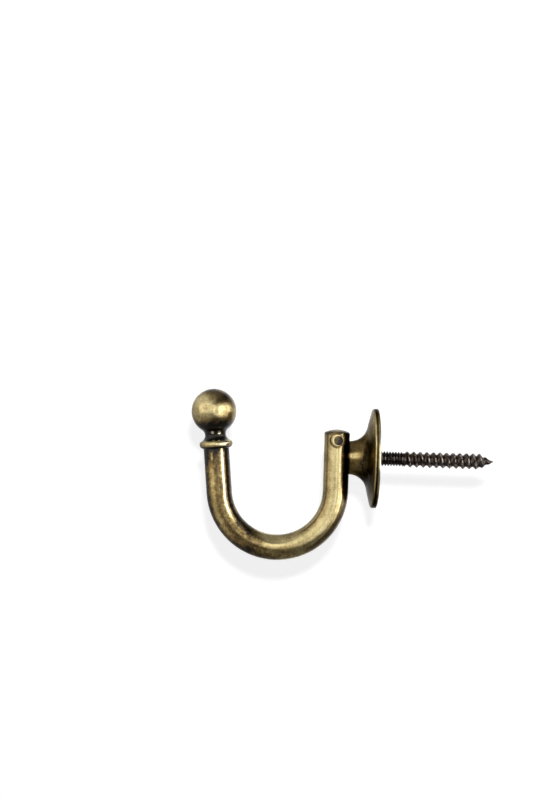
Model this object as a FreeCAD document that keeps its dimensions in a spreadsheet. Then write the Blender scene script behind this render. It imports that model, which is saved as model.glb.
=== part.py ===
"""Curtain holdback: a cast U hook with a ball end, a trumpet-shaped wall rose and a hanger screw.

Millimetres, +Z up. The origin is the middle of the rose's back, which lies on the wall.
+X runs along the screw into the wall, the hook stands out towards -X, and its U lies in the XZ plane.
"""
import FreeCAD
import Part
import Sketcher
import math
import os

SIZES = (
    ("rod_diameter", 7.1, "round bar that the hook is made of"),
    ("hook_gap", 25.2, "clear width inside the bend"),
    ("bend_drop", 9.3, "middle of the bend below the screw axis"),
    ("arm_rise", 6.5, "straight part of the rear arm above the screw axis"),
    ("arm_bevel", 0.55, "bevel round the end of the rear arm"),
    ("arm_dome", 0.7, "height of the domed end above its bevel"),
    ("front_lean", 5.5, "outward lean of the front arm, in degrees"),
    ("front_rise", 11.95, "middle of the bead above the middle of the bend"),
    ("bead_diameter", 9.2, "bead below the ball"),
    ("bead_thickness", 2.4, "bead along the arm"),
    ("neck_diameter", 5.8, "narrowest place between bead and ball"),
    ("ball_diameter", 12.5, "ball end"),
    ("ball_height", 9.15, "middle of the ball beyond the middle of the bead"),
    ("boss_diameter", 3.6, "round boss on the side of the rear arm"),
    ("boss_height", 4.75, "middle of the boss above the screw axis"),
    ("boss_proud", 0.3, "boss above the crown of the bar"),
    ("boss_bevel", 0.25, "bevel of the boss's rim"),
    ("dimple_diameter", 2.5, "sunken disc in the boss"),
    ("dimple_depth", 0.18, "depth of the sunken disc"),
    ("seat_depth", 0.45, "flat that is spot-faced in the rear arm for the rose"),
    ("seat_clearance", 0.1, "room round the rose's neck in that flat"),
    ("rose_diameter", 27.5, "rim of the rose"),
    ("rose_length", 8.1, "back of the rose to the end of its neck"),
    ("rose_neck", 9.3, "neck of the rose where it meets the arm"),
    ("flare_radius", 5.0, "hollow curve between neck and flange"),
    ("flange_slope", 14.0, "rake of the flange's front, in degrees"),
    ("rim_thickness", 1.45, "edge of the flange"),
    ("rim_front_bevel", 0.5, "bevel of the rim's front edge"),
    ("rim_back_bevel", 0.25, "bevel of the rim's back edge"),
    ("dish_diameter", 22.6, "hollow in the back of the rose"),
    ("dish_floor", 11.0, "flat floor of that hollow"),
    ("dish_depth", 1.9, "depth of that hollow"),
    ("bore_clearance", 0.2, "room round the screw in the rose"),
    ("machine_thread", 4.17, "fine-threaded end of the screw, over its crests"),
    ("machine_reach", 7.4, "fine thread beyond the back of the rose"),
    ("engagement", 4.6, "fine thread inside the arm"),
    ("tapped_clearance", 0.05, "room round the fine thread in the arm"),
    ("hole_spare", 0.4, "hole in the arm beyond the end of the screw"),
    ("end_chamfer", 0.4, "chamfer of the screw's inner end"),
    ("thread_run_in", 0.6, "cone between the fine and the coarse thread"),
    ("wood_thread", 4.45, "coarse-threaded end of the screw, over its crests"),
    ("screw_reach", 32.4, "point of the screw beyond the back of the rose"),
    ("point_length", 3.9, "cone of the screw's point"),
)
FULL_TURN = 360
TOUCH = 1e-4
# Radius of the neck's hollow as a share of the room for it, which the tangencies then settle.
NECK_GUESS = 0.7
# A sketch's own origin and axes, and the ends and centre of its edges.
ORIGIN = (-1, 1)
H_AXIS = -1
V_AXIS = -2
START = 1
END = 2
CENTRE = 3


class Size:
    """A number together with the spreadsheet expression that drives it."""

    def __init__(self, number, text):
        self.number = number
        self.text = text

    def combine(self, other, sign, number):
        other_text = other.text if isinstance(other, Size) else repr(other)
        return Size(number, f"({self.text} {sign} {other_text})")

    def __add__(self, other):
        return self.combine(other, "+", self.number + plain(other))

    def __sub__(self, other):
        return self.combine(other, "-", self.number - plain(other))

    def __mul__(self, other):
        return self.combine(other, "*", self.number * plain(other))

    def __truediv__(self, other):
        return self.combine(other, "/", self.number / plain(other))

    def __neg__(self):
        return Size(-self.number, f"(-1 * {self.text})")


def plain(value):
    return value.number if isinstance(value, Size) else value


def cosine(angle):
    return Size(math.cos(math.radians(angle.number)), f"cos({angle.text} * 1 deg)")


def tangent(angle):
    return Size(math.tan(math.radians(angle.number)), f"tan({angle.text} * 1 deg)")


def at(x, y):
    return FreeCAD.Vector(plain(x), plain(y), 0)


def make_sheet(doc):
    sheet = doc.addObject("Spreadsheet::Sheet", "sizes")
    for row, (alias, value, meaning) in enumerate(SIZES, start=1):
        sheet.set(f"A{row}", alias)
        sheet.set(f"B{row}", str(value))
        sheet.set(f"C{row}", meaning)
        sheet.setAlias(f"B{row}", alias)
    doc.recompute()
    return {alias: Size(float(sheet.get(alias)), f"sizes.{alias}") for alias, _, _ in SIZES}


def make_sketch(body, role, name):
    plane = next(item for item in body.Origin.OriginFeatures if item.Role == role)
    sketch = body.newObject("Sketcher::SketchObject", name)
    sketch.AttachmentSupport = (plane, [""])
    sketch.MapMode = "FlatFace"
    return sketch


def shift(sketch, **moves):
    """Moves a sketch in its plane's own directions, and turns it where an angle is given."""
    turn = moves.pop("turn", None)
    place = {axis: plain(size) for axis, size in moves.items()}
    base = FreeCAD.Vector(place.get("x", 0), place.get("y", 0), place.get("z", 0))
    angle = plain(turn) if turn else 0
    sketch.AttachmentOffset = FreeCAD.Placement(base, FreeCAD.Rotation(FreeCAD.Vector(0, 0, 1), angle))
    for axis, size in moves.items():
        sketch.setExpression(f".AttachmentOffset.Base.{axis}", size.text)
    if turn:
        sketch.setExpression(".AttachmentOffset.Rotation.Angle", turn.text)


def line(sketch, start, end, construction=False):
    return sketch.addGeometry(Part.LineSegment(start, end), construction)


def circle(sketch, centre, radius):
    return sketch.addGeometry(Part.Circle(centre, FreeCAD.Vector(0, 0, 1), plain(radius)))


def arc(sketch, centre, radius, first, last):
    round_line = Part.Circle(centre, FreeCAD.Vector(0, 0, 1), plain(radius))
    return sketch.addGeometry(Part.ArcOfCircle(round_line, first, last))


def relate(sketch, kind, *references):
    sketch.addConstraint(Sketcher.Constraint(kind, *references))


def drive(sketch, size, kind, *references):
    """Adds a dimension and ties it to the spreadsheet."""
    index = sketch.addConstraint(Sketcher.Constraint(kind, *references, size.number))
    sketch.setExpression(f"Constraints[{index}]", size.text)


def drive_angle(sketch, angle, edge):
    index = sketch.addConstraint(Sketcher.Constraint("Angle", edge, math.radians(angle.number)))
    sketch.setExpression(f"Constraints[{index}]", f"{angle.text} * 1 deg")


def join_chain(sketch, edges):
    """Joins the end of each edge to the start of the next, all the way round."""
    for edge, following in zip(edges, edges[1:] + edges[:1]):
        relate(sketch, "Coincident", edge, END, following, START)


def drive_circle(sketch, edge, radius, x=None, y=None):
    drive(sketch, radius, "Radius", edge)
    for size, kind, axis in ((x, "DistanceX", V_AXIS), (y, "DistanceY", H_AXIS)):
        if size is None:
            relate(sketch, "PointOnObject", edge, CENTRE, axis)
        else:
            drive(sketch, size, kind, *ORIGIN, edge, CENTRE)


def add_feature(body, kind, name, sketch, **settings):
    feature = body.newObject(f"PartDesign::{kind}", name)
    feature.Profile = sketch
    for key, value in settings.items():
        if isinstance(value, Size):
            setattr(feature, key, value.number)
            feature.setExpression(key, value.text)
        else:
            setattr(feature, key, value)
    body.Document.recompute()
    return feature


def revolve(body, name, sketch, axis):
    return add_feature(body, "Revolution", name, sketch, ReferenceAxis=(sketch, [axis]), Angle=FULL_TURN)


def cut(body, name, sketch, depth):
    before = body.Shape.Volume
    pocket = add_feature(body, "Pocket", name, sketch, Length=depth)
    if pocket.Shape.Volume >= before:
        raise RuntimeError(f"{name} removes nothing")
    return pocket


def bevel_circle(body, name, base, centre, radius, width):
    """Bevels the circular edge of the base feature that has this centre and radius."""
    place = FreeCAD.Vector(*[plain(value) for value in centre])
    names = []
    for index, edge in enumerate(base.Shape.Edges, start=1):
        if edge.Degenerated or not isinstance(edge.Curve, Part.Circle):
            continue
        same_centre = edge.Curve.Center.isEqual(place, TOUCH)
        if same_centre and abs(edge.Curve.Radius - plain(radius)) < TOUCH:
            names.append(f"Edge{index}")
    if not names:
        raise RuntimeError(f"{name} finds no edge to bevel")
    chamfer = body.newObject("PartDesign::Chamfer", name)
    chamfer.Base = (base, names)
    chamfer.Size = width.number
    chamfer.setExpression("Size", width.text)
    body.Document.recompute()
    return chamfer


def layout(size):
    """Places that the pieces share."""
    rod = size["rod_diameter"] / 2
    bend = size["hook_gap"] / 2 + rod
    arm_x = size["seat_depth"] - size["rose_length"] - rod
    bend_x = arm_x - bend
    lean = size["front_lean"]
    bead_x = bend_x - bend / cosine(lean) - size["front_rise"] * tangent(lean)
    return {
        "rod": rod,
        "bend": bend,
        "arm_x": arm_x,
        "bend_x": bend_x,
        "bend_z": -size["bend_drop"],
        "bead_x": bead_x,
        "bead_z": size["front_rise"] - size["bend_drop"],
        "screw": size["machine_thread"] / 2,
        "screw_start": size["rose_length"] + size["engagement"],
    }


def draw_rod_path(body, size, place):
    """Rear arm, bend and leaning front arm, from the rear arm's top to the middle of the bead."""
    sketch = make_sketch(body, "XZ_Plane", "rod_path")
    arm_x, bend_x, bend_z = place["arm_x"], place["bend_x"], place["bend_z"]
    lean = math.radians(size["front_lean"].number)
    bend = place["bend"].number
    bend_end = at(bend_x - bend * math.cos(lean), bend_z - bend * math.sin(lean))
    rear = line(sketch, at(arm_x, size["arm_rise"]), at(arm_x, bend_z))
    turn = arc(sketch, at(bend_x, bend_z), bend, lean - math.pi, 0)
    front = line(sketch, bend_end, at(place["bead_x"], place["bead_z"]))
    relate(sketch, "Vertical", rear)
    relate(sketch, "Tangent", rear, END, turn, END)
    relate(sketch, "Tangent", front, START, turn, START)
    drive(sketch, place["bend"], "Radius", turn)
    drive(sketch, arm_x, "DistanceX", *ORIGIN, rear, START)
    drive(sketch, size["arm_rise"], "DistanceY", *ORIGIN, rear, START)
    drive(sketch, bend_z, "DistanceY", *ORIGIN, turn, CENTRE)
    drive(sketch, place["bead_z"], "DistanceY", *ORIGIN, front, END)
    drive_angle(sketch, size["front_lean"] + 90, front)
    return sketch


def draw_arm_end(body, size, place):
    """Half section of the rear arm's bevelled and domed end, drawn from the arm's own axis."""
    sketch = make_sketch(body, "XZ_Plane", "arm_end_section")
    shift(sketch, x=place["arm_x"], y=size["arm_rise"])
    rod, bevel, dome = place["rod"], size["arm_bevel"], size["arm_dome"]
    shoulder = rod - bevel
    top = bevel + dome
    dome_radius = (shoulder.number ** 2 + dome.number ** 2) / (2 * dome.number)
    dome_angle = math.acos(shoulder.number / dome_radius)
    base = line(sketch, at(0, 0), at(rod, 0))
    slant = line(sketch, at(rod, 0), at(shoulder, bevel))
    crown = arc(sketch, at(0, top - dome_radius), dome_radius, dome_angle, math.pi / 2)
    axis = line(sketch, at(0, top), at(0, 0))
    join_chain(sketch, [base, slant, crown, axis])
    relate(sketch, "Coincident", base, START, *ORIGIN)
    relate(sketch, "Horizontal", base)
    relate(sketch, "Vertical", axis)
    relate(sketch, "PointOnObject", crown, CENTRE, V_AXIS)
    drive(sketch, rod, "DistanceX", *ORIGIN, base, END)
    drive(sketch, shoulder, "DistanceX", *ORIGIN, slant, END)
    drive(sketch, bevel, "DistanceY", *ORIGIN, slant, END)
    drive(sketch, top, "DistanceY", *ORIGIN, axis, START)
    return sketch


def draw_finial(body, size, place):
    """Half section of bead, neck and ball, drawn from the middle of the bead along the leaning arm."""
    sketch = make_sketch(body, "XZ_Plane", "finial_section")
    shift(sketch, x=place["bead_x"], y=place["bead_z"], turn=size["front_lean"])
    bead = size["bead_thickness"] / 2
    bead_u = size["bead_diameter"] / 2 - bead
    ball, ball_v = size["ball_diameter"] / 2, size["ball_height"]
    neck = size["neck_diameter"] / 2
    ball_rise = math.sqrt(ball.number ** 2 - neck.number ** 2)
    hollow = (ball_v.number - ball_rise - bead.number) * NECK_GUESS
    hollow_u, hollow_v = neck.number + hollow, bead.number + hollow
    to_bead = math.atan2(hollow_v, hollow_u - bead_u.number)
    to_ball = math.atan2(ball_v.number - hollow_v, -hollow_u)
    base = line(sketch, at(0, -bead), at(bead_u, -bead))
    bead_arc = arc(sketch, at(bead_u, 0), bead, -math.pi / 2, to_bead)
    neck_arc = arc(sketch, at(hollow_u, hollow_v), hollow, to_ball, to_bead + math.pi)
    ball_arc = arc(sketch, at(0, ball_v), ball, to_ball - math.pi, math.pi / 2)
    axis = line(sketch, at(0, ball_v + ball), at(0, -bead))
    waist = line(sketch, at(neck, hollow_v - hollow), at(neck, hollow_v + hollow), construction=True)
    relate(sketch, "Coincident", axis, END, base, START)
    relate(sketch, "Coincident", ball_arc, END, axis, START)
    relate(sketch, "Tangent", base, END, bead_arc, START)
    relate(sketch, "Tangent", bead_arc, END, neck_arc, END)
    relate(sketch, "Tangent", neck_arc, START, ball_arc, START)
    relate(sketch, "Horizontal", base)
    relate(sketch, "Vertical", axis)
    relate(sketch, "Vertical", waist)
    relate(sketch, "PointOnObject", axis, END, V_AXIS)
    relate(sketch, "PointOnObject", bead_arc, CENTRE, H_AXIS)
    relate(sketch, "PointOnObject", ball_arc, CENTRE, V_AXIS)
    relate(sketch, "Tangent", waist, neck_arc)
    drive(sketch, bead, "Radius", bead_arc)
    drive(sketch, bead_u, "DistanceX", *ORIGIN, bead_arc, CENTRE)
    drive(sketch, ball, "Radius", ball_arc)
    drive(sketch, ball_v, "DistanceY", *ORIGIN, ball_arc, CENTRE)
    drive(sketch, neck, "DistanceX", *ORIGIN, waist, START)
    relate(sketch, "PointOnObject", waist, START, H_AXIS)
    relate(sketch, "PointOnObject", waist, END, neck_arc)
    return sketch


def build_hook(doc, size, place):
    """The casting: bent bar with a domed end, ball end, side boss, seat for the rose and screw hole."""
    body = doc.addObject("PartDesign::Body", "hook")
    path = draw_rod_path(body, size, place)
    section = make_sketch(body, "XY_Plane", "rod_section")
    shift(section, z=size["arm_rise"])
    ring = circle(section, at(place["arm_x"], 0), place["rod"])
    drive_circle(section, ring, place["rod"], x=place["arm_x"])
    doc.recompute()
    add_feature(body, "AdditivePipe", "rod", section, Spine=path)

    arm_end = draw_arm_end(body, size, place)
    doc.recompute()
    revolve(body, "arm_end", arm_end, "V_Axis")

    finial = draw_finial(body, size, place)
    doc.recompute()
    revolve(body, "finial", finial, "V_Axis")

    crown = place["rod"] + size["boss_proud"]
    boss_place = (place["arm_x"], size["boss_height"])
    boss_radius = size["boss_diameter"] / 2
    boss = make_sketch(body, "XZ_Plane", "boss_circle")
    drive_circle(boss, circle(boss, at(*boss_place), boss_radius), boss_radius, *boss_place)
    doc.recompute()
    pad = add_feature(body, "Pad", "boss", boss, Length=crown)
    boss_rim = (place["arm_x"], -crown, size["boss_height"])
    bevel_circle(body, "boss_edge", pad, boss_rim, boss_radius, size["boss_bevel"])

    dimple_radius = size["dimple_diameter"] / 2
    dimple = make_sketch(body, "XZ_Plane", "dimple_circle")
    shift(dimple, z=crown)
    drive_circle(dimple, circle(dimple, at(*boss_place), dimple_radius), dimple_radius, *boss_place)
    doc.recompute()
    cut(body, "dimple", dimple, size["dimple_depth"])

    seat_radius = size["rose_neck"] / 2 + size["seat_clearance"]
    seat = make_sketch(body, "YZ_Plane", "seat_circle")
    drive_circle(seat, circle(seat, at(0, 0), seat_radius), seat_radius)
    doc.recompute()
    cut(body, "rose_seat", seat, size["rose_length"])

    hole_radius = place["screw"] + size["tapped_clearance"]
    hole = make_sketch(body, "YZ_Plane", "hole_circle")
    drive_circle(hole, circle(hole, at(0, 0), hole_radius), hole_radius)
    doc.recompute()
    cut(body, "tapped_hole", hole, place["screw_start"] + size["hole_spare"])
    return body


def build_rose(doc, size, place):
    """The trumpet-shaped backplate, turned about the screw axis, hollow behind."""
    body = doc.addObject("PartDesign::Body", "rose")
    sketch = make_sketch(body, "XZ_Plane", "rose_section")
    rim, neck = size["rose_diameter"] / 2, size["rose_neck"] / 2
    bore = place["screw"] + size["bore_clearance"]
    dish, floor = size["dish_diameter"] / 2, size["dish_floor"] / 2
    length, edge = size["rose_length"], size["rim_thickness"]
    depth, flare = size["dish_depth"], size["flare_radius"]
    slope = math.radians(size["flange_slope"].number)
    flare_r = neck.number + flare.number
    flange_lead = (rim.number - flare_r) * math.tan(slope)
    flare_x = -edge.number - flange_lead - flare.number / math.cos(slope)
    flange_end = at(flare_x + flare.number * math.cos(slope), flare_r - flare.number * math.sin(slope))

    back = line(sketch, at(0, dish), at(0, rim))
    brim = line(sketch, at(0, rim), at(-edge, rim))
    flange = line(sketch, at(-edge, rim), flange_end)
    flare_arc = arc(sketch, at(flare_x, flare_r), flare, -math.pi / 2, -slope)
    throat = line(sketch, at(flare_x, neck), at(-length, neck))
    face = line(sketch, at(-length, neck), at(-length, bore))
    wall = line(sketch, at(-length, bore), at(-depth, bore))
    bottom = line(sketch, at(-depth, bore), at(-depth, floor))
    flank = line(sketch, at(-depth, floor), at(0, dish))
    for first, second in ((back, brim), (brim, flange), (throat, face), (face, wall), (wall, bottom),
                          (bottom, flank), (flank, back)):
        relate(sketch, "Coincident", first, END, second, START)
    relate(sketch, "Tangent", flange, END, flare_arc, END)
    relate(sketch, "Tangent", flare_arc, START, throat, START)
    for upright in (back, face, bottom):
        relate(sketch, "Vertical", upright)
    for level in (brim, throat, wall):
        relate(sketch, "Horizontal", level)
    relate(sketch, "PointOnObject", back, START, V_AXIS)
    drive(sketch, dish, "DistanceY", *ORIGIN, back, START)
    drive(sketch, rim, "DistanceY", *ORIGIN, back, END)
    drive(sketch, edge, "DistanceX", brim, END, *ORIGIN)
    drive_angle(sketch, -(size["flange_slope"] + 90), flange)
    drive(sketch, flare, "Radius", flare_arc)
    drive(sketch, neck, "DistanceY", *ORIGIN, throat, END)
    drive(sketch, length, "DistanceX", throat, END, *ORIGIN)
    drive(sketch, bore, "DistanceY", *ORIGIN, wall, START)
    drive(sketch, depth, "DistanceX", bottom, END, *ORIGIN)
    drive(sketch, floor, "DistanceY", *ORIGIN, bottom, END)
    doc.recompute()
    turned = revolve(body, "trumpet", sketch, "H_Axis")
    front = bevel_circle(body, "rim_front", turned, (-edge, 0, 0), rim, size["rim_front_bevel"])
    bevel_circle(body, "rim_back", front, (0, 0, 0), rim, size["rim_back_bevel"])
    return body


def build_hanger_screw(doc, size, place):
    """The double-ended screw, over its crests: fine thread into the hook, coarse thread and point."""
    body = doc.addObject("PartDesign::Body", "hanger_screw")
    sketch = make_sketch(body, "XZ_Plane", "screw_section")
    fine, coarse = place["screw"], size["wood_thread"] / 2
    start, chamfer = place["screw_start"], size["end_chamfer"]
    change, tip = size["machine_reach"], size["screw_reach"]
    shoulder = tip - size["point_length"]
    run_in_length = size["thread_run_in"]
    corners = [
        at(-start, 0),
        at(-start, fine - chamfer),
        at(chamfer - start, fine),
        at(change, fine),
        at(change + run_in_length, coarse),
        at(shoulder, coarse),
        at(tip, 0),
    ]
    edges = [line(sketch, a, b) for a, b in zip(corners, corners[1:] + corners[:1])]
    end_face, end_cone, fine_side, run_in, coarse_side, point, axis = edges
    join_chain(sketch, edges)
    relate(sketch, "Vertical", end_face)
    for level in (fine_side, coarse_side):
        relate(sketch, "Horizontal", level)
    relate(sketch, "PointOnObject", axis, START, H_AXIS)
    relate(sketch, "PointOnObject", axis, END, H_AXIS)
    drive(sketch, start, "DistanceX", end_face, START, *ORIGIN)
    drive(sketch, fine - chamfer, "DistanceY", *ORIGIN, end_face, END)
    drive(sketch, chamfer, "DistanceX", end_cone, START, end_cone, END)
    drive(sketch, fine, "DistanceY", *ORIGIN, fine_side, START)
    drive(sketch, change, "DistanceX", *ORIGIN, fine_side, END)
    drive(sketch, run_in_length, "DistanceX", run_in, START, run_in, END)
    drive(sketch, coarse, "DistanceY", *ORIGIN, coarse_side, START)
    drive(sketch, shoulder, "DistanceX", *ORIGIN, coarse_side, END)
    drive(sketch, tip, "DistanceX", *ORIGIN, point, END)
    doc.recompute()
    revolve(body, "screw", sketch, "H_Axis")
    return body


def check(doc, bodies):
    failed = [item.Name for item in doc.Objects if {"Invalid", "Error"} & set(item.State)]
    if failed:
        raise RuntimeError(f"failed: {', '.join(failed)}")
    for body in bodies:
        if body.Shape.isNull() or not body.Shape.isValid():
            raise RuntimeError(f"{body.Label} has no valid shape")


def main():
    doc = FreeCAD.newDocument("curtain_holdback")
    size = make_sheet(doc)
    place = layout(size)
    bodies = [build(doc, size, place) for build in (build_hook, build_rose, build_hanger_screw)]
    doc.recompute()
    check(doc, bodies)
    os.makedirs("parts", exist_ok=True)
    for body in bodies:
        body.Shape.exportStep(f"parts/{body.Label}.step")
        print(body.Label, f"{len(body.Shape.Solids)} solid, {body.Shape.Volume:.1f} mm3")


main()
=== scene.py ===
"""Dresses the curtain holdback: cast hook and rose in antique brass, hanger screw in bronzed steel.

Metres, in the frame of the solids: the rose's back lies in x = 0, the screw runs along +X and +Z is up.
"""

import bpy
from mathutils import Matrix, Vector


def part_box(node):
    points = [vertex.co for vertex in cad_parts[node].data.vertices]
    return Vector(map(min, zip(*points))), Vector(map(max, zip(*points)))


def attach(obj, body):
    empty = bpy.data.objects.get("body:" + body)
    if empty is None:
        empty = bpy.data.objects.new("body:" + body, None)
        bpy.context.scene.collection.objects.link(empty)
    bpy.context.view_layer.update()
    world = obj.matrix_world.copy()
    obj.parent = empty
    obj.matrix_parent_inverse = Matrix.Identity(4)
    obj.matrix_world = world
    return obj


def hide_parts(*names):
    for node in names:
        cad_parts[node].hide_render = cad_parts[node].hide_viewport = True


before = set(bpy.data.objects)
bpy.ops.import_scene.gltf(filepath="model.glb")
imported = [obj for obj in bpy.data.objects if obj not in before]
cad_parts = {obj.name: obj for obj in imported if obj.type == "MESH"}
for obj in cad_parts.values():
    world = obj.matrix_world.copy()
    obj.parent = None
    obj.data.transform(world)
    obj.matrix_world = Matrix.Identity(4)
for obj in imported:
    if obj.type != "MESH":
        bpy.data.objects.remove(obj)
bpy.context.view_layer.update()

import math
from typing import NamedTuple

import bpy
from mathutils import Quaternion, Vector

bl_info = {
    "name": "Curtain holdback",
    "version": (1, 0, 0),
    "blender": (4, 5, 0),
    "location": "View3D > Sidebar > Holdback",
    "description": "Models a curtain holdback: hook, rose and hanger screw, with their finishes and a stage",
    "category": "Object",
}

MM = 0.001
FULL_TURN = 2 * math.pi
RIGHT_ANGLE = math.pi / 2
ORIGIN = Vector((0, 0, 0))
X_AXIS = Vector((1, 0, 0))
Y_AXIS = Vector((0, 1, 0))
Z_AXIS = Vector((0, 0, 1))
WHITE = (1.0, 1.0, 1.0, 1.0)
# Vertices this close are one; a cut leaves some that lie a little further apart.
WELD = 0.0005 * MM
CUT_WELD = 0.003 * MM
# A finished piece's box lies this close to its solid's box.
BOX_SLACK = 0.15 * MM
# Sides of the round forms, and steps of the bend, a profile's arcs and a thread's turn.
SIDES = 96
BEND_STEPS = 96
BALL_STEPS = 44
NECK_STEPS = 16
EDGE_STEPS = 8
BOSS_EDGE_STEPS = 4
FLARE_STEPS = 24
FINE_STEPS = 40
COARSE_STEPS = 56
SMOOTH_ANGLE = math.radians(32)
# Halvings of a range that find the neck's radius.
HALVINGS = 60
# A face looks along an axis where its normal has at least this much of it.
FACING = 0.999
# Floor of the boss's sunken disc, as a share of its mouth.
DIMPLE_DRAFT = 0.94
# Threads, as shares of their pitch: flat crests and roots, the coarse thread's foot and the fillet beside it.
FINE_FLAT = 1 / 8
COARSE_FLAT = 0.14
COARSE_FOOT = 0.78
COARSE_FILLET = 0.06
# Height of that fillet, as a share of its length.
FILLET_HEIGHT = 0.7
# Turns wound beyond a thread's length, which are trimmed off. The coarse thread starts some turns early.
FINE_SPARE = 2
COARSE_SPARE = 4
COARSE_LEAD = 2
# How far the screw's point is drawn in; -1 would be a sharp end.
POINT_TAPER = -0.98


def length(name, description, millimetres):
    return bpy.props.FloatProperty(
        name=name,
        description=description,
        default=millimetres * MM,
        min=0.0,
        precision=5,
        unit="LENGTH",
    )


def angle(name, description, degrees):
    return bpy.props.FloatProperty(
        name=name,
        description=description,
        default=math.radians(degrees),
        subtype="ANGLE",
        unit="ROTATION",
    )


def colour(name, description, red, green, blue):
    return bpy.props.FloatVectorProperty(
        name=name,
        description=description,
        default=(red, green, blue),
        min=0.0,
        max=1.0,
        size=3,
        subtype="COLOR",
    )


def share(name, description, default):
    return bpy.props.FloatProperty(
        name=name,
        description=description,
        default=default,
        min=0.0,
        soft_max=1.0,
        subtype="FACTOR",
    )


class HookSizes(bpy.types.PropertyGroup):
    """Sizes of the cast hook"""

    bar: length("Bar", "Diameter of the round bar", 7.1)
    gap: length("Gap", "Clear width inside the bend", 25.2)
    drop: length("Drop", "Middle of the bend below the screw axis", 9.3)
    arm_rise: length("Arm rise", "Straight part of the rear arm above the screw axis", 6.5)
    arm_edge: length("Arm edge", "Rounding of the rear arm's end", 0.6)
    arm_top: length("Arm top", "Top of the domed end above the screw axis", 7.75)
    lean: angle("Lean", "Outward lean of the front arm", 5.5)
    front_rise: length("Front rise", "Middle of the bead above the middle of the bend", 11.95)
    bead: length("Bead", "Diameter of the bead", 9.2)
    bead_thickness: length("Bead thickness", "Bead along the arm", 2.4)
    neck: length("Neck", "Narrowest diameter between bead and ball", 5.8)
    ball: length("Ball", "Diameter of the ball", 12.5)
    ball_height: length("Ball height", "Middle of the ball beyond the middle of the bead", 9.15)
    boss: length("Boss", "Diameter of the boss on the rear arm", 3.6)
    boss_height: length("Boss height", "Middle of the boss above the screw axis", 4.75)
    boss_proud: length("Boss proud", "Boss above the crown of the bar", 0.3)
    boss_edge: length("Boss edge", "Rounding of the boss's rim", 0.22)
    dimple: length("Dimple", "Diameter of the sunken disc in the boss", 2.5)
    dimple_depth: length("Dimple depth", "Depth of the sunken disc", 0.18)
    seat_depth: length("Seat depth", "Flat in the rear arm for the rose", 0.45)
    seat_room: length("Seat room", "Room round the rose's neck in that flat", 0.1)
    hole: length("Hole", "Diameter of the tapped hole in the rear arm", 4.27)
    hole_depth: length("Hole depth", "Depth of the tapped hole from the seat", 5.0)


class RoseSizes(bpy.types.PropertyGroup):
    """Sizes of the rose"""

    rim: length("Rim", "Diameter of the rose", 27.5)
    depth: length("Depth", "Back of the rose to the end of its neck", 8.1)
    neck: length("Neck", "Diameter of the neck where it meets the arm", 9.3)
    flare: length("Flare", "Radius of the hollow curve between neck and flange", 5.0)
    rake: angle("Rake", "Rake of the flange's front", 14.0)
    rim_thickness: length("Rim thickness", "Edge of the flange", 1.45)
    front_edge: length("Front edge", "Rounding of the rim's front edge", 0.55)
    back_edge: length("Back edge", "Rounding of the rim's back edge", 0.28)
    dish: length("Dish", "Diameter of the hollow in the back", 22.6)
    dish_floor: length("Dish floor", "Diameter of the hollow's flat floor", 11.0)
    dish_depth: length("Dish depth", "Depth of the hollow", 1.9)
    bore: length("Bore", "Diameter of the hole for the screw", 4.57)


class ScrewSizes(bpy.types.PropertyGroup):
    """Sizes of the hanger screw"""

    start: length("Start", "Inner end of the screw behind the rose's back", 12.7)
    fine: length("Fine thread", "Diameter over the fine thread's crests", 4.17)
    fine_core: length("Fine core", "Diameter at the fine thread's roots", 3.2)
    fine_pitch: length("Fine pitch", "Pitch of the fine thread", 0.794)
    change: length("Change", "End of the fine thread", 7.4)
    run_in: length("Run-in", "Room between the two threads", 0.35)
    coarse: length("Coarse thread", "Diameter over the coarse thread's crests", 4.45)
    coarse_core: length("Coarse core", "Diameter of the coarse thread's core", 3.2)
    coarse_pitch: length("Coarse pitch", "Pitch of the coarse thread", 1.827)
    first_crest: length("First crest", "First coarse crest on top, from the rose's back", 8.38)
    shoulder: length("Shoulder", "Start of the point", 28.5)
    tip: length("Tip", "Point of the screw from the rose's back", 32.4)


class Finishes(bpy.types.PropertyGroup):
    """Colours and lacquer of the metals, and the floor's colour"""

    brass: colour("Brass", "Brass rubbed bright", 0.70, 0.58, 0.28)
    # Pale brass colours the painted highlights and the brightest rubbed places.
    pale: colour("Pale brass", "Brass rubbed almost white", 0.72, 0.705, 0.68)
    olive: colour("Olive", "Thin patina on the brass", 0.23, 0.155, 0.05)
    amber: colour("Amber", "Tint of the lacquer where it is thick", 1.0, 0.92, 0.78)
    patina: colour("Patina", "Dark patina in the recesses", 0.012, 0.009, 0.007)
    bronze: colour("Bronze", "Dark plating of the screw", 0.044, 0.032, 0.027)
    steel: colour("Bare crest", "Screw crests worn to light metal", 0.62, 0.52, 0.45)
    paper: colour("Paper", "Plain pale floor", 0.8, 0.8, 0.8)
    hook_lacquer: share("Hook lacquer", "Clear lacquer over the hook", 0.45)
    hook_edge: share("Hook edge", "Brightness of the hook's metal seen edge on", 1.0)
    rose_lacquer: share("Rose lacquer", "Clear lacquer over the rose", 0.06)
    rose_edge: share("Rose edge", "Brightness of the rose's metal seen edge on", 0.42)
    screw_lacquer: share("Screw lacquer", "Clear lacquer over the screw", 0.3)


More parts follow.
